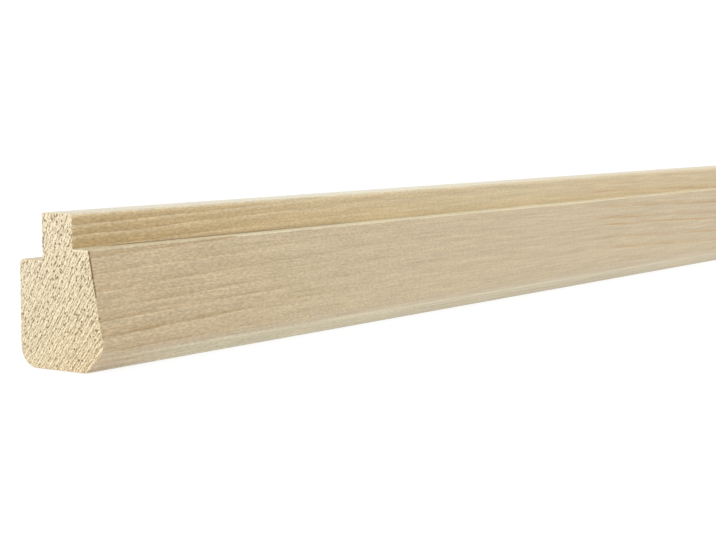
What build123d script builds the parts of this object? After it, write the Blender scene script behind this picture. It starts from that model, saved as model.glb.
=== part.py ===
"""Unfinished hardwood picture frame moulding, one solid length of profiled stock.

The stick lies face down, as it is stored: the flat face of the frame is at the bottom, and the
tongue at the back of the frame points up. X runs along the stick, Y from the sight edge to the
outer side and Z from the face to the back. The origin is at the middle of the underside.
"""

import os
from math import cos, radians, tan

from build123d import *

# Blank, in millimetres: 1 1/4 x 1 3/4 inch stock, sold in 4 ft lengths
stock_length = 1219.2
section_width = 31.75
section_height = 44.45

# Rabbet that the glass, the picture and the backing board lie in
rabbet_width = 6.0
rabbet_depth = 9.9

# Step along the back of the outer side
outer_step_width = 8.9
outer_step_depth = 13.4

# Sight edge: it leans in towards the rabbet, above a 45 degree chamfer on the face
sight_lean_angle = 11.2
sight_chamfer = 6.9

# Radii that the cutters leave along the edges
face_round = 6.2
nose_round = 3.7
outer_step_round = 2.0
tongue_outer_round = 0.5
tongue_inner_round = 1.4
lip_round = 0.3
chamfer_foot_round = 0.8

# The sharp nose corner stands out past the rounded nose, which is where the width ends
half_turn = radians(45 + sight_lean_angle) / 2
half_skew = radians(45 - sight_lean_angle) / 2
nose_overshoot = nose_round * (cos(half_skew) / cos(half_turn) - 1)

# Places in the section, across (Y) and up (Z)
outer_side = section_width / 2
sight_nose = -section_width / 2 - nose_overshoot
ledge_height = section_height - rabbet_depth
outer_step_height = section_height - outer_step_depth
sight_lip = sight_nose + (ledge_height - sight_chamfer) * tan(radians(sight_lean_angle))
tongue_inner = sight_lip + rabbet_width
tongue_outer = outer_side - outer_step_width

# Corners of the section, before their edges are rounded
face_corner = (outer_side, 0)
outer_step_corner = (outer_side, outer_step_height)
outer_step_root = (tongue_outer, outer_step_height)
tongue_outer_corner = (tongue_outer, section_height)
tongue_inner_corner = (tongue_inner, section_height)
rabbet_root = (tongue_inner, ledge_height)
lip_corner = (sight_lip, ledge_height)
nose_corner = (sight_nose, sight_chamfer)
chamfer_foot = (sight_nose + sight_chamfer, 0)

# Each cutter radius and the corner that it rounds; the two roots stay square
rounded_corners = [
    (face_round, face_corner),
    (outer_step_round, outer_step_corner),
    (tongue_outer_round, tongue_outer_corner),
    (tongue_inner_round, tongue_inner_corner),
    (lip_round, lip_corner),
    (nose_round, nose_corner),
    (chamfer_foot_round, chamfer_foot),
]

# The section is drawn on the near end and carried along the whole stick
with BuildPart() as moulding:
    with BuildSketch(Plane.YZ.offset(-stock_length / 2)) as section:
        with BuildLine():
            Polyline(
                face_corner,
                outer_step_corner,
                outer_step_root,
                tongue_outer_corner,
                tongue_inner_corner,
                rabbet_root,
                lip_corner,
                nose_corner,
                chamfer_foot,
                close=True,
            )
        make_face()
        for radius, corner in rounded_corners:
            fillet(section.vertices().sort_by_distance(corner)[0], radius)
    extrude(amount=stock_length)

moulding.part.label = "moulding"
os.makedirs("parts", exist_ok=True)
export_step(moulding.part, "parts/moulding.step")
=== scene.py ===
"""Unfinished basswood picture frame moulding, lying face down on a white studio floor.

The stick is one closed surface: its milled section is carried from one sawn end to the other, and
each end is the section drawn in to a point. Its two finishes are solid patterns about the pith of
the tree that it was sawn from, so the same growth rings show on every face.
"""

import math

import bpy
import numpy as np
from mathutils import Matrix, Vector


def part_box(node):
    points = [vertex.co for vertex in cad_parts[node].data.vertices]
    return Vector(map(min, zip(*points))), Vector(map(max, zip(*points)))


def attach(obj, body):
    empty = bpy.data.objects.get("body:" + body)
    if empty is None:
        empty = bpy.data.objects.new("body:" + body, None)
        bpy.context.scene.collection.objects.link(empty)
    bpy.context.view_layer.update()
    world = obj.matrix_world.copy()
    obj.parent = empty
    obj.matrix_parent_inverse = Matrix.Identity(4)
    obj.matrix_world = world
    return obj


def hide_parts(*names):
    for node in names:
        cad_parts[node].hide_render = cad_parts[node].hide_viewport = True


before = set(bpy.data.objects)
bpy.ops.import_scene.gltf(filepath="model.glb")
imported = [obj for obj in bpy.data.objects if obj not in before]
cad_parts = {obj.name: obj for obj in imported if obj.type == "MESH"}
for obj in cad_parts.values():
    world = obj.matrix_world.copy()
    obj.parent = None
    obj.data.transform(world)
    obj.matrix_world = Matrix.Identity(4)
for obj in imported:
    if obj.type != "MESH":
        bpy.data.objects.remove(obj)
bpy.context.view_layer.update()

bl_info = {
    "name": "Picture Frame Moulding",
    "version": (1, 0, 0),
    "blender": (4, 5, 0),
    "location": "3D View > Sidebar > Moulding",
    "description": "Dresses a stick of unfinished picture frame moulding and lights it on a white floor",
    "category": "Add Mesh",
}

NODE = "moulding"
MM = 0.001

STICK_LOW, STICK_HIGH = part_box(NODE)


def mm(*sizes):
    """Sizes in metres, from sizes in millimetres."""
    return tuple(size * MM for size in sizes)


# Growth rings at the left end, as the sight edge shows them: millimetres out from the pith, and how
# strongly the dark line just outside the ring shows there and further along
RINGS = (
    (117.4, 0.8, 0.4), (120.0, 0.7, 0.8), (122.6, 0.9, 0.6), (125.3, 0.7, 0.4), (128.1, 0.8, 0.8),
    (130.7, 0.7, 0.4), (133.4, 0.9, 0.8), (136.0, 0.7, 0.5), (138.8, 0.8, 0.6), (141.5, 0.7, 0.4),
    (144.1, 0.8, 0.3), (146.7, 0.9, 0.3), (149.3, 0.5, 0.3), (151.9, 0.6, 0.3), (154.6, 1.0, 0.75),
    (156.8, 0.85, 1.0), (158.6, 0.95, 0.2), (159.8, 0.5, 1.4), (161.2, 0.8, 0.8), (163.9, 0.55, 1.0),
    (166.6, 1.35, 0.6), (168.8, 0.8, 0.4), (171.6, 0.8, 0.4), (174.4, 0.8, 0.4), (177.0, 0.8, 0.4),
)

# Distances round the pith are measured on this radius, in the middle of the stick
ARC_RADIUS = 150 * MM

# Stretches along the stick, from its left end, over which the planed wood changes
TAN_FADES = mm(10, 150)
PALE_BEGINS = mm(0, 40)
PALE_FADES = mm(60, 400)
FOOT_LIGHT_FADES = mm(80, 200)
BACK_SHEEN_FADES = mm(150, 400)
STREAK_FADES = mm(10, 220)
NEAR_LINES_FADE = mm(10, 130)
FAR_LINES_BEGIN = mm(285, 325)
PORES_FADE = mm(0, 250)
DUST_AND_SHADE_BEGINS = mm(8, 18)
DUST_AND_SHADE_FADES = mm(80, 200)

# Stretches out from the pith over which it changes
PALE_YEARS_BEGIN = mm(139, 142.5)
PALE_YEARS_END = mm(149.8, 150.4)
FOOT_LIGHT_ENDS = mm(145.2, 146.4)
NOSE_HIGHLIGHT_BEGINS = mm(148.2, 149.2)

# Ribs in the relief of an end: their spacing in millimetres, their rise as a share of the relief's
# depth, and the millimetres along a rib over which it strays
SAWN_RIBS = ((1.27, 0.22, 2.2), (2.2, 0.13, 2.6))

# Millimetres along the stick over which a pattern of the ends changes: so many that it hardly does
END_DEEP = 1000

# Sockets of a Mix node that mixes colours
MIX_A, MIX_B, MIX_OUT = 6, 7, 2

WHITE = (1, 1, 1, 1)


def linear(hex_colour):
    """Linear RGB of an sRGB hex colour such as D6C39F."""
    srgb = np.array([int(hex_colour[i:i + 2], 16) for i in (0, 2, 4)]) / 255
    return tuple(np.where(srgb <= 0.04045, srgb / 12.92, ((srgb + 0.055) / 1.055) ** 2.4).tolist())


def length(name, description, millimetres):
    """A size that the user may change, given in millimetres and kept in metres."""
    return bpy.props.FloatProperty(
        name=name, description=description, default=millimetres * MM, unit="LENGTH", precision=5
    )


def angle(name, description, degrees):
    """An angle that the user may change, given in degrees and kept in radians."""
    return bpy.props.FloatProperty(
        name=name, description=description, default=math.radians(degrees), subtype="ANGLE"
    )


def factor(name, description, default):
    """A share of 0 to 1 that the user may change."""
    return bpy.props.FloatProperty(
        name=name, description=description, default=default, subtype="FACTOR", min=0, max=1
    )


def colour(name, description, hex_colour):
    """A colour that the user may change, given as sRGB hex and kept linear."""
    return bpy.props.FloatVectorProperty(
        name=name, description=description, default=linear(hex_colour), subtype="COLOR", min=0, max=1
    )


class MouldingSection(bpy.types.PropertyGroup):
    """Sizes of the section, as the cutters leave it, and of what the saw tears from its ends."""

    rabbet_width: length("Rabbet width", "Ledge that the glass and picture lie on", 6.0)
    rabbet_depth: length("Rabbet depth", "From the back of the tongue down to the ledge", 9.9)
    outer_step_width: length("Outer step width", "From the outer side in to the tongue", 8.9)
    outer_step_depth: length("Outer step depth", "From the back of the tongue down to the step", 13.4)
    sight_lean: angle("Sight edge lean", "How far the sight edge leans in from upright", 11.2)
    sight_chamfer: length("Sight chamfer", "Width and height of the chamfer under the sight edge", 6.9)
    face_round: length("Face round", "Radius between the face and the outer side", 6.2)
    nose_round: length("Nose round", "Radius between the sight edge and its chamfer", 3.7)
    outer_step_round: length("Outer step round", "Radius on the corner of the outer step", 2.0)
    tongue_outer_round: length("Tongue outer round", "Radius on the tongue's corner over the step", 0.5)
    tongue_inner_round: length("Tongue inner round", "Radius on the tongue's corner over the rabbet", 1.4)
    lip_round: length("Lip round", "Radius between the ledge and the sight edge", 0.3)
    chamfer_foot_round: length("Chamfer foot round", "Radius between the chamfer and the face", 0.8)
    end_arris: length("End arris", "Wood that the saw tears from the edges of an end", 0.15)
    saw_depth: length("Saw depth", "Depth of the roughest pits that the saw leaves in an end", 0.16)


class MouldingGrain(bpy.types.PropertyGroup):
    """How the stick was sawn from the tree, and the colours of its wood."""

    pith_y: length("Pith across", "Middle of the tree, across the section", 104.0)
    pith_z: length("Pith height", "Middle of the tree, below the face", -88.0)
    bow_rise: length("Bow rise", "How far the rings swing along the stick", 2.5)
    bow_length: length("Bow length", "Half a swing of the rings", 445.0)
    wander: length("Wander", "How far the rings stray from their swing", 0.5)
    fray: length("Fray", "How unevenly the fibres of a ring lie", 0.7)
    ray_lean: factor("Ray lean", "How far the rays lean from the radius, as a share of it", 0.2)
    cream: colour("Cream wood", "Wood of most of the stick", "D6C39F")
    tan: colour("Tan wood", "Wood towards the left end", "D2BA94")
    pale: colour("Pale wood", "A pale band of years under the sight edge", "DCD1AF")
    tongue: colour("Tongue wood", "Wood of the tongue", "E4D0A8")
    # Painted sheen and light, on the tongue's back, the ledge, the nose and the chamfer's foot
    back: colour("Back wood", "Paler wood on the back of the tongue and on the ledge", "EAE1C2")
    streak: colour("Tongue streak", "Streak of darker wood in the tongue", "D2B785")
    # Dust and painted shade in the rabbet's root, and painted shade of the fibres torn by the saw
    torn: colour("Torn wood", "Dust in the rabbet's root and fibres torn by the saw", "7A5F3F")
    latewood: colour("Latewood", "Line at the end of a year's growth", "B89C70")
    late_orange: colour("Orange latewood", "Such a line further along the stick", "C69B60")
    end_grain: colour("End grain", "Cut fibres high on a sawn end", "EDDFC0")
    end_low: colour("End grain, low", "Cut fibres low on a sawn end", "DBC59C")
    # Painted highlight on fibres that stand proud, and painted shade in the pits between them
    end_rib_highlight: colour("End grain ribs", "Fibres that stand proud of the saw's cut", "FFF0CE")
    end_pit_shade: colour("End grain pits", "Torn pits between the fibres", "8C7450")


class MouldingStage(bpy.types.PropertyGroup):
    """Floor, light and camera."""

    lens: bpy.props.FloatProperty(
        name="Lens", description="Focal length on a 36 mm wide sensor", default=87.49, unit="CAMERA"
    )
    eye_before: length("Eye before", "Camera's distance short of the left end, along the stick", 351.23)
    eye_beside: length("Eye beside", "Camera's distance in front of the stick's middle plane", 344.89)
    eye_height: length("Eye height", "Camera's height over the floor", 74.33)
    heading: angle("Heading", "Camera's turn from looking across the stick", -55.277)
    tilt: angle("Tilt", "Camera's tilt down from level", 5.391)
    key_strength: factor("Key light", "Light from the left, as a share of plain white", 0.6)
    key_spread: angle("Key spread", "How wide the light from the left is, which softens shadows", 50)
    room_strength: factor("Room light", "Light from all round, as a share of plain white", 0.48)


def rounded_outline(corners, radii, step):
    """Closed outline through rounded corners, as an array of (y, z) points about one step apart.

    Each corner's arc has its centre on the bisector, at the radius over the sine of half the
    corner's angle, and runs from the end of one straight run to the start of the next.
    """
    fewest_steps = 5
    before = np.roll(corners, 1, axis=0) - corners
    after = np.roll(corners, -1, axis=0) - corners
    before /= np.linalg.norm(before, axis=1, keepdims=True)
    after /= np.linalg.norm(after, axis=1, keepdims=True)
    half = np.arccos((before * after).sum(axis=1)) / 2
    reach = (radii / np.tan(half))[:, None]
    starts = corners + before * reach
    ends = corners + after * reach
    middle = before + after
    middle /= np.linalg.norm(middle, axis=1, keepdims=True)
    centres = corners + middle * (radii / np.sin(half))[:, None]
    runs = []
    for i, radius in enumerate(radii):
        follows = starts[(i + 1) % len(corners)]
        if radius > 0:
            turn = math.pi - 2 * half[i]
            count = max(fewest_steps, math.ceil(radius * turn / step)) + 1
            share = np.linspace(0, 1, count)[:, None]
            chord = (starts[i] - centres[i]) * (1 - share) + (ends[i] - centres[i]) * share
            runs.append(centres[i] + radius * chord / np.linalg.norm(chord, axis=1, keepdims=True))
        else:
            runs.append(corners[i:i + 1])
        count = math.ceil(np.linalg.norm(follows - ends[i]) / step)
        share = (np.arange(1, count) / count)[:, None]
        runs.append(ends[i] * (1 - share) + follows * share)
    return np.concatenate(runs)


def section_outline(section, step):
    """Outline of the section from its sizes, from the chamfer's foot on, and the root of its rabbet."""
    half_turn = (math.radians(45) + section.sight_lean) / 2
    half_skew = (math.radians(45) - section.sight_lean) / 2
    nose_overshoot = section.nose_round * (math.cos(half_skew) / math.cos(half_turn) - 1)
    nose = STICK_LOW.y - nose_overshoot
    ledge = STICK_HIGH.z - section.rabbet_depth
    outer_step = STICK_HIGH.z - section.outer_step_depth
    lip = nose + (ledge - section.sight_chamfer) * math.tan(section.sight_lean)
    tongue_inner = lip + section.rabbet_width
    tongue_outer = STICK_HIGH.y - section.outer_step_width
    corners = [
        (nose + section.sight_chamfer, STICK_LOW.z, section.chamfer_foot_round),
        (STICK_HIGH.y, STICK_LOW.z, section.face_round),
        (STICK_HIGH.y, outer_step, section.outer_step_round),
        (tongue_outer, outer_step, 0),
        (tongue_outer, STICK_HIGH.z, section.tongue_outer_round),
        (tongue_inner, STICK_HIGH.z, section.tongue_inner_round),
        (tongue_inner, ledge, 0),
        (lip, ledge, section.lip_round),
        (nose, section.sight_chamfer, section.nose_round),
    ]
    corners = np.array(corners)
    return rounded_outline(corners[:, :2], corners[:, 2], step), (tongue_inner, ledge)


def lattice_noise(u, v, seed):
    """Smooth random field from 0 to 1: random numbers on a unit lattice, blended by smoothstep."""
    size = 256
    lattice = np.random.default_rng(seed).random((size, size))
    column = np.floor(u).astype(int)
    row = np.floor(v).astype(int)
    a = u - column
    b = v - row
    a = a * a * (3 - 2 * a)
    b = b * b * (3 - 2 * b)
    left = lattice[column % size, row % size] * (1 - b) + lattice[column % size, (row + 1) % size] * b
    column = column + 1
    right = lattice[column % size, row % size] * (1 - b) + lattice[column % size, (row + 1) % size] * b
    return left * (1 - a) + right * a


def sawn_relief(points, grain, depth, seed):
    """How far each point of an end lies below the saw's plane, in metres.

    Small round pits are a smooth random field. The ribs that follow the rays out from the pith are
    sine waves of the arc length about the pith, whose phases stray by smooth random fields.
    """
    pit_size, stray_width = mm(0.6, 1.3)
    pit_share = 0.3
    stray_share = 0.7
    across = points - (grain.pith_y, grain.pith_z)
    radius = np.hypot(across[..., 0], across[..., 1])
    arc = np.arctan2(across[..., 1], across[..., 0]) * ARC_RADIUS + grain.ray_lean * radius
    fall = pit_share * lattice_noise(radius / pit_size, arc / pit_size, seed)
    for i, (spacing, rise, stray_length) in enumerate(SAWN_RIBS):
        stray = lattice_noise(radius / (stray_length * MM), arc / stray_width, seed + 1 + i)
        cycles = arc / (spacing * MM) + stray_share * stray
        fall += rise * (1 + np.sin(2 * math.pi * cycles))
    return depth * fall


def stick_surface(section, grain):
    """The whole stick as one grid, with a row for each ring of points and a column for each point.

    Row by row the section is scaled up from a point at the left end, carried along the stick, and
    scaled down to a point at the right end. Its middle sees the whole outline, so no row folds
    over another. Relief moves the points of the ends along the stick, into the wood.
    Returns the two poles, the rows, the relief's depth at each point of the rows, how many rows each
    end has, and the root of the rabbet.
    """
    spacing = 0.35 * MM
    end_rings = 100
    stations = 16
    middle_height = 0.45
    relief_seeds = (11, 23)
    torn_seeds = (5, 7)
    points_to_a_tear = 3
    plain_from = 0.6 * MM
    outline, rabbet_root = section_outline(section, spacing)
    columns = len(outline)
    middle = np.array([(STICK_LOW.y + STICK_HIGH.y) / 2, middle_height * STICK_HIGH.z])
    tangent = np.roll(outline, -1, axis=0) - np.roll(outline, 1, axis=0)
    tangent /= np.linalg.norm(tangent, axis=1, keepdims=True)
    inward = np.stack([-tangent[:, 1], tangent[:, 0]], axis=1)
    inset = outline + inward * section.end_arris
    share = np.linspace(0, 1, end_rings + 1)[1:, None, None]
    end = middle + (inset - middle) * share
    relief = [sawn_relief(end, grain, section.saw_depth, seed) for seed in relief_seeds]
    # Tears are from half as deep as the arris to one and a half times as deep
    tears = np.arange(columns) / points_to_a_tear
    one_row = np.zeros(columns)
    torn = [section.end_arris * (0.5 + lattice_noise(tears, one_row, seed)) for seed in torn_seeds]
    reach = STICK_HIGH.x - plain_from
    along = reach * np.sin(np.linspace(-math.pi / 2, math.pi / 2, stations))
    sides = [np.full(columns, x) for x in along]
    x_rows = np.concatenate([
        STICK_LOW.x + relief[0],
        (STICK_LOW.x + torn[0])[None],
        sides,
        (STICK_HIGH.x - torn[1])[None],
        (STICK_HIGH.x - relief[1])[::-1],
    ])
    yz_rows = np.concatenate([end, np.repeat(outline[None], stations + 2, axis=0), end[::-1]])
    rows = np.concatenate([x_rows[..., None], yz_rows], axis=2)
    depth = np.concatenate([relief[0], np.zeros((stations + 2, columns)), relief[1][::-1]])
    poles = np.array([
        (STICK_LOW.x + relief[0][0].mean(), *middle),
        (STICK_HIGH.x - relief[1][-1].mean(), *middle),
    ])
    return poles, rows, depth, end_rings, rabbet_root


def bake_places(rows, poles, end_rings):
    """Place of every face's corners on the bake's map, in the order of the stick's faces.

    The sides make one band, with the seam at the chamfer's foot, and each end lies on its side below
    it. Grain changes slowly along the stick, so the band is squeezed along it, but for the last
    millimetres, and drawn out round it.
    """
    margin = 0.005
    band_low, band_tall = 0.375, 0.62
    end_wide, end_tall = 0.48, 0.345
    last_left = 0.515
    drawn_out, drawn_share = 2 * MM, 0.02
    count, columns = rows.shape[:2]
    closed = np.concatenate([rows, rows[:, :1]], axis=1)
    hop = np.linalg.norm(np.diff(closed[count // 2], axis=0), axis=1)
    around = np.concatenate([[0], np.cumsum(hop)]) / hop.sum()
    stops = [STICK_LOW.x, STICK_LOW.x + drawn_out, STICK_HIGH.x - drawn_out, STICK_HIGH.x]
    band_u = np.interp(closed[..., 0], stops, [margin, drawn_share, 1 - drawn_share, 1 - margin])
    band = np.stack([band_u, np.broadcast_to(band_low + band_tall * around, band_u.shape)], axis=2)

    def lay_end(points, left):
        share = (points - tuple(STICK_LOW)) / tuple(STICK_HIGH - STICK_LOW)
        return np.stack([left + end_wide * share[..., 2], margin + end_tall * share[..., 1]], axis=-1)

    first, last = lay_end(closed, margin), lay_end(closed, last_left)
    first_end, last_end = end_rings - 1, count - end_rings
    quads = []
    for grid, low, high in (
        (first, 0, first_end),
        (band, first_end, last_end),
        (last, last_end, count - 1),
    ):
        here, there = grid[low:high], grid[low + 1:high + 1]
        quads.append(np.stack([here[:, :-1], here[:, 1:], there[:, 1:], there[:, :-1]], axis=2))
    first_pole = np.broadcast_to(lay_end(poles[0], margin), (columns, 2))
    last_pole = np.broadcast_to(lay_end(poles[1], last_left), (columns, 2))
    fans = [
        np.stack([first_pole, first[0, 1:], first[0, :-1]], axis=1),
        np.stack([last_pole, last[-1, :-1], last[-1, 1:]], axis=1),
    ]
    return np.concatenate([part.reshape(-1, 2) for part in quads + fans])


def add_mesh(name, points, faces):
    """A mesh object at the origin, made from lists of points and faces and put into the scene."""
    mesh = bpy.data.meshes.new(name)
    mesh.from_pydata(points, [], faces)
    piece = bpy.data.objects.new(name, mesh)
    bpy.context.scene.collection.objects.link(piece)
    return piece


def add_node(tree, kind, inputs=(), **settings):
    """Adds one node with its settings, and fills its inputs, which come in their order or by key.

    An input takes a plain value, or a link from a socket or from another node's first output. The
    inputs of Map Range, in order, are its value, the two ends of a span and what it gives at each.
    """
    node = tree.nodes.new("ShaderNode" + kind)
    for name, value in settings.items():
        setattr(node, name, value)
    keyed = inputs if isinstance(inputs, dict) else dict(enumerate(inputs))
    for key, value in keyed.items():
        if isinstance(value, bpy.types.Node):
            value = value.outputs[0]
        if isinstance(value, bpy.types.NodeSocket):
            tree.links.new(value, node.inputs[key])
        else:
            node.inputs[key].default_value = value
    return node


def new_material(name):
    """An empty node material and its tree."""
    material = bpy.data.materials.new(name)
    material.use_nodes = True
    material.node_tree.nodes.clear()
    return material, material.node_tree


def grain_frame(tree, grain):
    """Place in the tree that the stick came from: along from the left end, out from the pith, round it."""
    place = add_node(tree, "TexCoord").outputs["Object"]
    pith = (STICK_LOW.x, grain.pith_y, grain.pith_z)
    centred = add_node(tree, "VectorMath", [place, pith], operation="SUBTRACT")
    part = add_node(tree, "SeparateXYZ", [centred])
    across = add_node(tree, "VectorMath", [centred, (0, 1, 1)], operation="MULTIPLY")
    out = add_node(tree, "VectorMath", [across], operation="LENGTH").outputs["Value"]
    turn = add_node(tree, "Math", [part.outputs["Z"], part.outputs["Y"]], operation="ARCTAN2")
    around = add_node(tree, "Math", [turn, ARC_RADIUS], operation="MULTIPLY")
    return add_node(tree, "CombineXYZ", [part.outputs["X"], out, around])


def fleck(tree, polar, along, out, around, detail=2):
    """Random field of 0 to 1 in the wood, with grains of the given sizes in millimetres."""
    scaled = add_node(tree, "VectorMath", [polar, mm(along, out, around)], operation="DIVIDE")
    return add_node(tree, "TexNoise", {"Vector": scaled, "Scale": 1, "Detail": detail})


def join_points(curve, across, up):
    """Runs a curve node's curve straight from point to point."""
    points = curve.mapping.curves[0].points
    points[0].location = across[0], up[0]
    points[1].location = across[-1], up[-1]
    for x, y in zip(across[1:-1], up[1:-1]):
        points.new(x, y)
    for point in points:
        point.handle_type = "VECTOR"
    curve.mapping.use_clip = False
    curve.mapping.update()


def growth_years(tree, polar, grain):
    """Years of growth in from the outermost ring, at each place in the wood.

    A curve turns the distance from the pith into years, because the rings are not equally wide. The
    rings swing and wander along the stick.
    """
    along, out = add_node(tree, "SeparateXYZ", [polar]).outputs[:2]
    phase = add_node(tree, "Math", [along, math.pi / grain.bow_length], operation="MULTIPLY")
    bow = add_node(tree, "Math", [phase], operation="SINE")
    place = add_node(tree, "Math", [bow, -grain.bow_rise, out], operation="MULTIPLY_ADD")
    for reach, field in (
        (grain.wander, fleck(tree, polar, 110, 9, 30)),
        (grain.fray, fleck(tree, polar, 28, 2, 3)),
    ):
        stray = add_node(tree, "Math", [field, 0.5], operation="SUBTRACT")
        place = add_node(tree, "Math", [stray, reach, place], operation="MULTIPLY_ADD")
    radii = [ring[0] for ring in RINGS]
    inner, outer = radii[0], radii[-1]
    ages = [(radius - inner) / (outer - inner) for radius in radii]
    share = add_node(tree, "MapRange", [place, *mm(inner, outer)])
    counted = add_node(tree, "FloatCurve", {"Value": share})
    join_points(counted, ages, np.linspace(1, 0, len(radii)).tolist())
    return add_node(tree, "Math", [counted, len(radii) - 1], operation="MULTIPLY")


def line_strengths(tree, years):
    """How strongly each year's late line shows, at the left end and further along.

    Two curves over the middles of the years give the strengths, from the outermost year in. A year's
    line lies at its inner side, just outside a ring, and takes that ring's strengths.
    """
    count = len(RINGS) - 1
    year = add_node(tree, "Math", [years], operation="FLOOR")
    midsummer = add_node(tree, "Math", [year, 0.5], operation="ADD")
    lifetime = add_node(tree, "Math", [midsummer, count], operation="DIVIDE")
    midsummers = [0, *((np.arange(count) + 0.5) / count).tolist(), 1]
    curves = []
    for strengths in list(zip(*RINGS))[1:]:
        curve = add_node(tree, "FloatCurve", {"Value": lifetime})
        join_points(curve, midsummers, (strengths[-2], *strengths[-2::-1], strengths[0]))
        curves.append(curve)
    return curves


def planed_basswood(grain, rabbet_root):
    """Basswood planed along the grain and left bare: pale cream, matt, with faint brown year lines.

    The eye sees thin soft lines that run along the stick, clear near the left end and faint further
    on, fine silky fibres and short pore dashes, and a tan streak in the tongue that fades along the
    stick.
    """
    material, tree = new_material("basswood_planed_bare")
    polar = grain_frame(tree, grain)
    along, out = add_node(tree, "SeparateXYZ", [polar]).outputs[:2]
    place = add_node(tree, "TexCoord").outputs["Object"]
    lengthwise, across, height = add_node(tree, "SeparateXYZ", [place]).outputs
    root_across, ledge = rabbet_root
    over_ledge = add_node(tree, "Math", [height, ledge], operation="SUBTRACT")
    below_back = add_node(tree, "Math", [STICK_HIGH.z, height], operation="SUBTRACT")
    years = growth_years(tree, polar, grain)
    season = add_node(tree, "Math", [years], operation="FRACT")

    # Tan clouds towards the left end
    near = add_node(tree, "MapRange", [along, *TAN_FADES, 1, 0], interpolation_type="SMOOTHSTEP")
    cloud = fleck(tree, polar, 45, 4, 12)
    tanned = add_node(tree, "Math", [near, cloud], operation="MULTIPLY")

    # A pale band of years under the sight edge, with painted light at the nose and the chamfer's foot
    pale = add_node(tree, "MapRange", [out, *PALE_YEARS_END, 1, 0])
    for mask in (
        add_node(tree, "MapRange", [out, *PALE_YEARS_BEGIN]),
        add_node(tree, "MapRange", [along, *PALE_BEGINS]),
        add_node(tree, "MapRange", [along, *PALE_FADES, 1, 0.55]),
    ):
        pale = add_node(tree, "Math", [pale, mask], operation="MULTIPLY")
    # Painted highlight along the nose, and painted light low on the chamfer near the left end
    nose = add_node(tree, "MapRange", [out, *NOSE_HIGHLIGHT_BEGINS, 0, 0.5])
    foot = add_node(tree, "MapRange", [out, *FOOT_LIGHT_ENDS, 1, 0])
    foot_light_fade = add_node(tree, "MapRange", [along, *FOOT_LIGHT_FADES, 0.6, 0])
    foot = add_node(tree, "Math", [foot, foot_light_fade], operation="MULTIPLY")
    painted_light = add_node(tree, "Math", [nose, foot], operation="MAXIMUM")
    painted_light = add_node(tree, "Math", [painted_light, pale], operation="MULTIPLY")

    # The tongue, and painted sheen on its back and on the ledge beside it
    tongue = add_node(tree, "MapRange", [over_ledge, *mm(0.1, 0.5)])
    ledge_sheen = add_node(tree, "Math", [over_ledge, 0, 0.25 * MM], operation="COMPARE")
    back_sheen = add_node(tree, "MapRange", [below_back, *mm(0.1, 0.5), 1, 0])
    back_sheen_fade = add_node(tree, "MapRange", [along, *BACK_SHEEN_FADES, 1, 0.3])
    back_sheen = add_node(tree, "Math", [back_sheen, back_sheen_fade], operation="MULTIPLY")
    painted_sheen = add_node(tree, "Math", [ledge_sheen, back_sheen], operation="MAXIMUM")

    # A tan streak in the tongue's wall, strongest late in each year, that fades along the stick
    streak = tongue
    for mask in (
        add_node(tree, "MapRange", [below_back, *mm(0.1, 1.5)]),
        add_node(tree, "MapRange", [along, *STREAK_FADES, 1, 0.1]),
        add_node(tree, "MapRange", [season, 0.1, 0.5, 0.35, 1], interpolation_type="SMOOTHSTEP"),
    ):
        streak = add_node(tree, "Math", [streak, mask], operation="MULTIPLY")

    # Each of these colours lies over the ones before it, on cream wood, the back colour as painted light
    body = (*grain.cream, 1)
    for mask, paint in (
        (tanned, grain.tan),
        (pale, grain.pale),
        (painted_light, grain.back),
        (tongue, grain.tongue),
        (painted_sheen, grain.back),
        (streak, grain.streak),
    ):
        layer = add_node(tree, "Mix", {0: mask, MIX_A: body, MIX_B: (*paint, 1)}, data_type="RGBA")
        body = layer.outputs[MIX_OUT]

    # Year lines: a slow darkening, then a thin late line, with a pale start to the next year
    near_strength, far_strength = line_strengths(tree, years)
    slow = add_node(tree, "MapRange", [season, 0.1, 1, 0, 0.75])
    thin = add_node(tree, "MapRange", [season, 0.76, 0.95], interpolation_type="SMOOTHSTEP")
    near_line = add_node(tree, "Math", [thin, 0.35, slow], operation="MULTIPLY_ADD")
    near_fade = add_node(tree, "MapRange", [along, *NEAR_LINES_FADE, 1, 0.2])
    for mask in (near_strength, near_fade):
        near_line = add_node(tree, "Math", [near_line, mask], operation="MULTIPLY")
    far_line = add_node(tree, "MapRange", [season, 0.5, 0.95, 0, 0.65], interpolation_type="SMOOTHSTEP")
    far_fade = add_node(tree, "MapRange", [along, *FAR_LINES_BEGIN], interpolation_type="SMOOTHSTEP")
    for mask in (far_strength, far_fade):
        far_line = add_node(tree, "Math", [far_line, mask], operation="MULTIPLY")
    ringed = add_node(tree, "Math", [near_line, far_line], operation="MAXIMUM")

    # The lines are broken by plain patches, and fainter on the tongue, the pale band and the painted sheen
    patch = fleck(tree, polar, 30, 3, 6)
    broken = add_node(tree, "MapRange", [patch, 0.35, 0.6, 0.45, 1])
    covered = add_node(tree, "Math", [tongue, 0.6], operation="MULTIPLY")
    for mask in (pale, back_sheen):
        covered = add_node(tree, "Math", [covered, mask], operation="MAXIMUM")
    plain = add_node(tree, "MapRange", [covered, 0, 1, 1, 0.4])
    for mask in (plain, broken):
        ringed = add_node(tree, "Math", [ringed, mask], operation="MULTIPLY")
    late_colours = {0: far_fade, MIX_A: (*grain.latewood, 1), MIX_B: (*grain.late_orange, 1)}
    late = add_node(tree, "Mix", late_colours, data_type="RGBA").outputs[MIX_OUT]
    body = add_node(tree, "Mix", {0: ringed, MIX_A: body, MIX_B: late}, data_type="RGBA").outputs[MIX_OUT]

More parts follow.
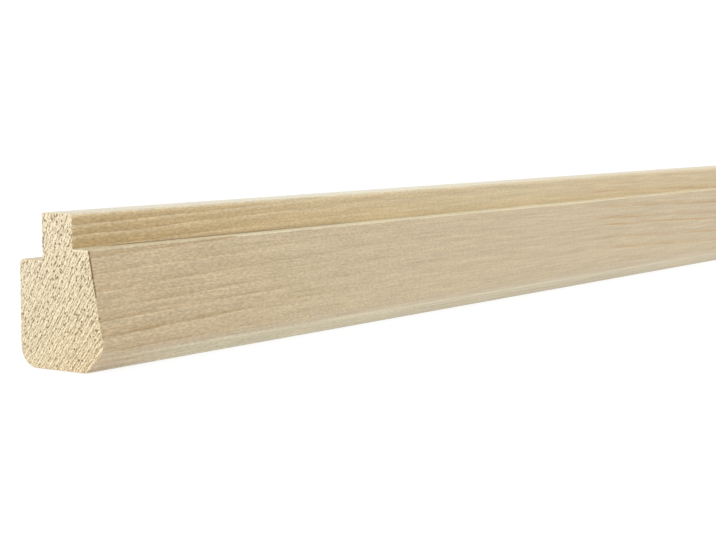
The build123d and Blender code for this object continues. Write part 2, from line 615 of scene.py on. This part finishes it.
    # Fibres, pore dashes, silky speckle, and planing streaks on the pale band, all drawn a little
    # coarser than life so that they show: each one's least and greatest shade, and its strength
    fibre = fleck(tree, polar, 22, 0.5, 0.5, 2)
    pore_fade = add_node(tree, "MapRange", [along, *PORES_FADE, 1.3, 0.5])
    shade = 1
    for field, least, greatest, strength in (
        (fibre, 0.92, 1.08, 1),
        (fleck(tree, polar, 1.6, 0.48, 0.48, 1), 1.13, 0.87, pore_fade),
        (fleck(tree, polar, 35, 1.4, 1.4), 0.95, 1.05, 1),
        (fleck(tree, polar, 150, 0.75, 0.75, 0), 0.92, 1.08, pale),
    ):
        swing = add_node(tree, "MapRange", [field, 0.3, 0.7, least, greatest])
        swing = add_node(tree, "Math", [swing, strength], operation="POWER")
        shade = add_node(tree, "Math", [shade, swing], operation="MULTIPLY")
    tone = add_node(tree, "VectorMath", {0: body, "Scale": shade}, operation="SCALE")

    # Dust and painted shade: a dark line in the root of the rabbet, fading along the stick
    flat = add_node(tree, "VectorMath", [place, (0, 1, 1)], operation="MULTIPLY")
    root = (0, root_across, ledge)
    off_root = add_node(tree, "VectorMath", [flat, root], operation="DISTANCE").outputs["Value"]
    root_dust_and_shade = add_node(tree, "MapRange", [off_root, *mm(0.1, 0.4), 0.7, 0])
    for mask in (
        add_node(tree, "MapRange", [along, *DUST_AND_SHADE_BEGINS]),
        add_node(tree, "MapRange", [along, *DUST_AND_SHADE_FADES, 1, 0]),
    ):
        root_dust_and_shade = add_node(tree, "Math", [root_dust_and_shade, mask], operation="MULTIPLY")

    # Painted shade of fibres torn by the saw at the ends of the sight edge, more towards the lip
    from_middle = add_node(tree, "Math", [lengthwise], operation="ABSOLUTE")
    from_end = add_node(tree, "Math", [STICK_HIGH.x, from_middle], operation="SUBTRACT")
    often = add_node(tree, "MapRange", [over_ledge, *mm(-16, -8), -0.1, 0.1])
    nick = add_node(tree, "Math", [fleck(tree, polar, 5, 1.3, 1.3), often], operation="ADD")
    torn = add_node(tree, "MapRange", [nick, 0.42, 0.56])
    for mask in (
        add_node(tree, "MapRange", [from_end, *mm(0.4, 0.7), 1, 0]),
        add_node(tree, "MapRange", [over_ledge, *mm(-0.4, 0), 1, 0]),
        add_node(tree, "MapRange", [height, *mm(8, 10)]),
        add_node(tree, "Math", [across, root_across], operation="LESS_THAN"),
    ):
        torn = add_node(tree, "Math", [torn, mask], operation="MULTIPLY")
    dust_and_shade = add_node(tree, "Math", [root_dust_and_shade, torn], operation="MAXIMUM")
    tone = add_node(tree, "Mix", {0: dust_and_shade, MIX_A: tone, MIX_B: (*grain.torn, 1)}, data_type="RGBA")
    bump = add_node(tree, "Bump", {"Height": fibre, "Strength": 0.3, "Distance": 0.03 * MM})
    surface = add_node(tree, "BsdfPrincipled", {
        "Base Color": tone.outputs[MIX_OUT], "Roughness": 0.36, "IOR": 1.5, "Normal": bump,
    })
    add_node(tree, "OutputMaterial", {"Surface": surface})
    return material


def sawn_basswood(grain, rabbet_root, saw_depth):
    """Basswood cross-cut by a coarse saw: cream fibre ends, pale ribs along the rays and dark pits.

    The eye sees a dense speckle of light and dark grains about half a millimetre across, drawn out
    along ribs about a millimetre apart that fan from the pith, with a few round pits, most of them
    high on the end. The coarser ribs are the relief's own. Specks and ribs are larger than life, so
    that they show. Their light and dark are painted highlight and painted shade of the relief.
    """
    rib_spacing = 0.88 * MM
    pit_cells = (1, 1.3 * MM, 1 * MM)
    up_the_end = (0, 0.63, 0.78)
    material, tree = new_material("basswood_sawn_end_grain")
    upright = grain_frame(tree, grain)
    out = add_node(tree, "SeparateXYZ", [upright]).outputs["Y"]
    lean = add_node(tree, "VectorMath", {0: (0, 0, grain.ray_lean), "Scale": out}, operation="SCALE")
    polar = add_node(tree, "VectorMath", [upright, lean], operation="ADD")
    around = add_node(tree, "SeparateXYZ", [polar]).outputs["Z"]
    place = add_node(tree, "TexCoord").outputs["Object"]
    across, height = add_node(tree, "SeparateXYZ", [place]).outputs[1:]
    root_across, ledge = rabbet_root

    # Grit: fine specks and ribs, the relief's own ribs and a trace of the years, from proud to deep
    speck = fleck(tree, polar, END_DEEP, 0.5, 0.42, 1)
    fine = add_node(tree, "MapRange", [speck, 0, 1, -2.2, 2.2])
    stray = fleck(tree, polar, END_DEEP, 1.6, 1.3, 0)
    stray = add_node(tree, "Math", [stray, 1.3], operation="MULTIPLY")
    ribs = add_node(tree, "Math", [around, 1 / rib_spacing, stray], operation="MULTIPLY_ADD")
    waves = []
    for cycles, rise in ((ribs, 0.7), (growth_years(tree, upright, grain), 0.15)):
        turned = add_node(tree, "Math", [cycles, 2 * math.pi], operation="MULTIPLY")
        wave = add_node(tree, "Math", [turned], operation="SINE")
        waves.append(add_node(tree, "Math", [wave, rise], operation="MULTIPLY"))
    rib_wave, year_wave = waves
    fine = add_node(tree, "Math", [fine, rib_wave], operation="ADD")
    depth = add_node(tree, "Attribute", attribute_name="saw_depth").outputs["Fac"]
    coarse = add_node(tree, "MapRange", [depth, 0, saw_depth, -1.1, 1.1])
    grit = fine
    for layer in (year_wave, coarse):
        grit = add_node(tree, "Math", [grit, layer], operation="ADD")
    # Painted highlight on proud grit, and painted shade on deep grit
    proud = add_node(tree, "MapRange", [grit, 0, -1.2])
    low = add_node(tree, "MapRange", [grit, 0.1, 1.7])

    # Painted shade in round pits, in a few of the cells of a loose grid, more of them high on the end
    upper = add_node(tree, "VectorMath", [place, up_the_end], operation="DOT_PRODUCT").outputs["Value"]
    upper = add_node(tree, "MapRange", [upper, *mm(-7, 38)])
    cells = add_node(tree, "VectorMath", [polar, pit_cells], operation="DIVIDE")
    dots = add_node(tree, "TexVoronoi", {"Vector": cells, "Scale": 1})
    chance = add_node(tree, "SeparateXYZ", [dots.outputs["Color"]])
    often = add_node(tree, "MapRange", [upper, 0, 1, 0.02, 0.3])
    chosen = add_node(tree, "Math", [chance, often], operation="LESS_THAN")
    dot = add_node(tree, "MapRange", [dots.outputs["Distance"], 0.4, 0.18])
    dot = add_node(tree, "Math", [dot, chosen], operation="MULTIPLY")
    pit_shade = add_node(tree, "Math", [low, dot], operation="MAXIMUM")

    # A thin painted highlight along the end's edge under the ledge
    over_ledge = add_node(tree, "Math", [height, ledge], operation="SUBTRACT")
    rim_highlight = add_node(tree, "MapRange", [over_ledge, *mm(-0.6, -0.3)])
    beside = add_node(tree, "Math", [across, root_across], operation="LESS_THAN")
    rim_highlight = add_node(tree, "Math", [rim_highlight, beside], operation="MULTIPLY")

    # Each of these colours lies over the ones before it: painted highlight and painted shade on the relief
    base = (*grain.end_low, 1)
    for mask, paint in (
        (upper, grain.end_grain),
        (proud, grain.end_rib_highlight),
        (pit_shade, grain.end_pit_shade),
        (rim_highlight, grain.end_rib_highlight),
    ):
        layer = add_node(tree, "Mix", {0: mask, MIX_A: base, MIX_B: (*paint, 1)}, data_type="RGBA")
        base = layer.outputs[MIX_OUT]
    raised = add_node(tree, "Math", [fine, -1], operation="MULTIPLY")
    bump = add_node(tree, "Bump", {"Height": raised, "Strength": 1, "Distance": 0.08 * MM})
    surface = add_node(tree, "BsdfPrincipled", {
        "Base Color": base, "Roughness": 0.8, "IOR": 1.5, "Normal": bump,
    })
    add_node(tree, "OutputMaterial", {"Surface": surface})
    return material


def seen_directly(tree):
    """One for rays that show the background: the camera's own, mirrored ones and ones through glass."""
    rays = add_node(tree, "LightPath").outputs
    seen = add_node(tree, "Math", [rays["Is Camera Ray"], rays["Is Glossy Ray"]], operation="MAXIMUM")
    return add_node(tree, "Math", [seen, rays["Is Transmission Ray"]], operation="MAXIMUM")


def white_studio_paper():
    """Matt white paper, lit from below: it lights the stick, and looks white but for a soft shadow."""
    paper_grey, paper_glow = 0.6, 0.34
    shadow_grey, shown_glow = 0.15, 0.9
    material, tree = new_material("studio_paper_matt_white")
    looks = []
    for grey, strength in ((paper_grey, paper_glow), (shadow_grey, shown_glow)):
        paper = add_node(tree, "BsdfDiffuse", {"Color": (grey, grey, grey, 1)})
        glow = add_node(tree, "Emission", {"Color": WHITE, "Strength": strength})
        looks.append(add_node(tree, "AddShader", [paper, glow]))
    surface = add_node(tree, "MixShader", [seen_directly(tree), *looks])
    add_node(tree, "OutputMaterial", {"Surface": surface})
    return material


class MOULDING_OT_stick(bpy.types.Operator):
    """Makes the stick's surface and finishes in place of its plain solid"""

    bl_idname = "moulding.stick"
    bl_label = "Moulding stick"

    def execute(self, context):
        sharp_edge = math.radians(50)
        section = context.scene.moulding_section
        grain = context.scene.moulding_grain
        poles, rows, depth, end_rings, rabbet_root = stick_surface(section, grain)
        count, columns = rows.shape[:2]
        points = np.concatenate([poles[:1], rows.reshape(-1, 3), poles[1:]])
        number = 1 + np.arange(count * columns).reshape(count, columns)
        number = np.concatenate([number, number[:, :1]], axis=1)
        quads = np.stack([number[:-1, :-1], number[:-1, 1:], number[1:, 1:], number[1:, :-1]], axis=2)
        first = np.stack([np.zeros(columns, int), number[0, 1:], number[0, :-1]], axis=1)
        last = np.stack([np.full(columns, len(points) - 1), number[-1, :-1], number[-1, 1:]], axis=1)
        faces = quads.reshape(-1, 4).tolist() + first.tolist() + last.tolist()
        stick = add_mesh("moulding_stick", points.tolist(), faces)
        mesh = stick.data
        mesh.materials.append(planed_basswood(grain, rabbet_root))
        mesh.materials.append(sawn_basswood(grain, rabbet_root, section.saw_depth))
        on_end = np.ones((count - 1, columns), int)
        on_end[end_rings - 1:count - end_rings] = 0
        kinds = np.concatenate([on_end.ravel(), np.ones(2 * columns, int)])
        mesh.polygons.foreach_set("material_index", kinds)
        mesh.polygons.foreach_set("use_smooth", np.ones(len(kinds), bool))
        places = bake_places(rows, poles, end_rings)
        mesh.uv_layers.new(name="OFBake").uv.foreach_set("vector", places.ravel().astype(np.float32))
        pits = mesh.attributes.new("saw_depth", "FLOAT", "POINT")
        pits.data.foreach_set("value", np.concatenate([[0], depth.ravel(), [0]]).astype(np.float32))
        mesh.set_sharp_from_angle(angle=sharp_edge)
        mesh.update()
        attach(stick, "root")
        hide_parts(NODE)
        return {"FINISHED"}


class MOULDING_OT_stage(bpy.types.Operator):
    """Makes the white floor, the soft light and the camera"""

    bl_idname = "moulding.stage"
    bl_label = "Studio stage"

    def execute(self, context):
        floor_reach = 30.0
        floor_height = -0.2 * MM
        key_from = Vector((-0.72, -0.24, 0.65))
        sensor_width = 36
        nearest, furthest = 0.01, 100
        scene = context.scene
        stage = scene.moulding_stage
        scene.view_settings.view_transform = "Standard"
        signs = ((-1, -1), (1, -1), (1, 1), (-1, 1))
        corners = [(x * floor_reach, y * floor_reach, floor_height) for x, y in signs]
        floor = add_mesh("studio_floor", corners, [(0, 1, 2, 3)])
        floor.data.materials.append(white_studio_paper())

        world = bpy.data.worlds.new("white_studio")
        scene.world = world
        world.use_nodes = True
        tree = world.node_tree
        tree.nodes.clear()
        room = add_node(tree, "Background", {"Color": WHITE, "Strength": stage.room_strength})
        backdrop = add_node(tree, "Background", {"Color": WHITE, "Strength": 1})
        sky = add_node(tree, "MixShader", [seen_directly(tree), room, backdrop])
        add_node(tree, "OutputWorld", {"Surface": sky})

        lamp = bpy.data.lights.new("key_light", "SUN")
        lamp.energy = stage.key_strength * math.pi
        lamp.angle = stage.key_spread
        key = bpy.data.objects.new("key_light", lamp)
        key.rotation_euler = key_from.to_track_quat("Z", "Y").to_euler()
        scene.collection.objects.link(key)

        lens = bpy.data.cameras.new("photo_camera")
        lens.lens = stage.lens
        lens.sensor_width = sensor_width
        lens.sensor_fit = "HORIZONTAL"
        lens.clip_start = nearest
        lens.clip_end = furthest
        camera = bpy.data.objects.new("photo_camera", lens)
        camera.location = (STICK_LOW.x - stage.eye_before, -stage.eye_beside, stage.eye_height)
        camera.rotation_euler = (math.pi / 2 - stage.tilt, 0, stage.heading)
        scene.collection.objects.link(camera)
        scene.camera = camera
        return {"FINISHED"}


class MOULDING_PT_sidebar(bpy.types.Panel):
    """Lists the sizes, the wood and the stage, and the buttons that make them"""

    bl_idname = "MOULDING_PT_sidebar"
    bl_label = "Picture Frame Moulding"
    bl_space_type = "VIEW_3D"
    bl_region_type = "UI"
    bl_category = "Moulding"

    def draw(self, context):
        scene = context.scene
        for group in (scene.moulding_section, scene.moulding_grain, scene.moulding_stage):
            box = self.layout.box()
            for name in group.bl_rna.properties.keys():
                if name not in ("rna_type", "name"):
                    box.prop(group, name)
        self.layout.operator(MOULDING_OT_stick.bl_idname)
        self.layout.operator(MOULDING_OT_stage.bl_idname)


CLASSES = (
    MouldingSection,
    MouldingGrain,
    MouldingStage,
    MOULDING_OT_stick,
    MOULDING_OT_stage,
    MOULDING_PT_sidebar,
)


def register():
    for cls in CLASSES:
        bpy.utils.register_class(cls)
    bpy.types.Scene.moulding_section = bpy.props.PointerProperty(type=MouldingSection)
    bpy.types.Scene.moulding_grain = bpy.props.PointerProperty(type=MouldingGrain)
    bpy.types.Scene.moulding_stage = bpy.props.PointerProperty(type=MouldingStage)


def unregister():
    del bpy.types.Scene.moulding_stage
    del bpy.types.Scene.moulding_grain
    del bpy.types.Scene.moulding_section
    for cls in reversed(CLASSES):
        bpy.utils.unregister_class(cls)


def main():
    register()
    bpy.ops.moulding.stick()
    bpy.ops.moulding.stage()


if __name__ == "__main__":
    main()
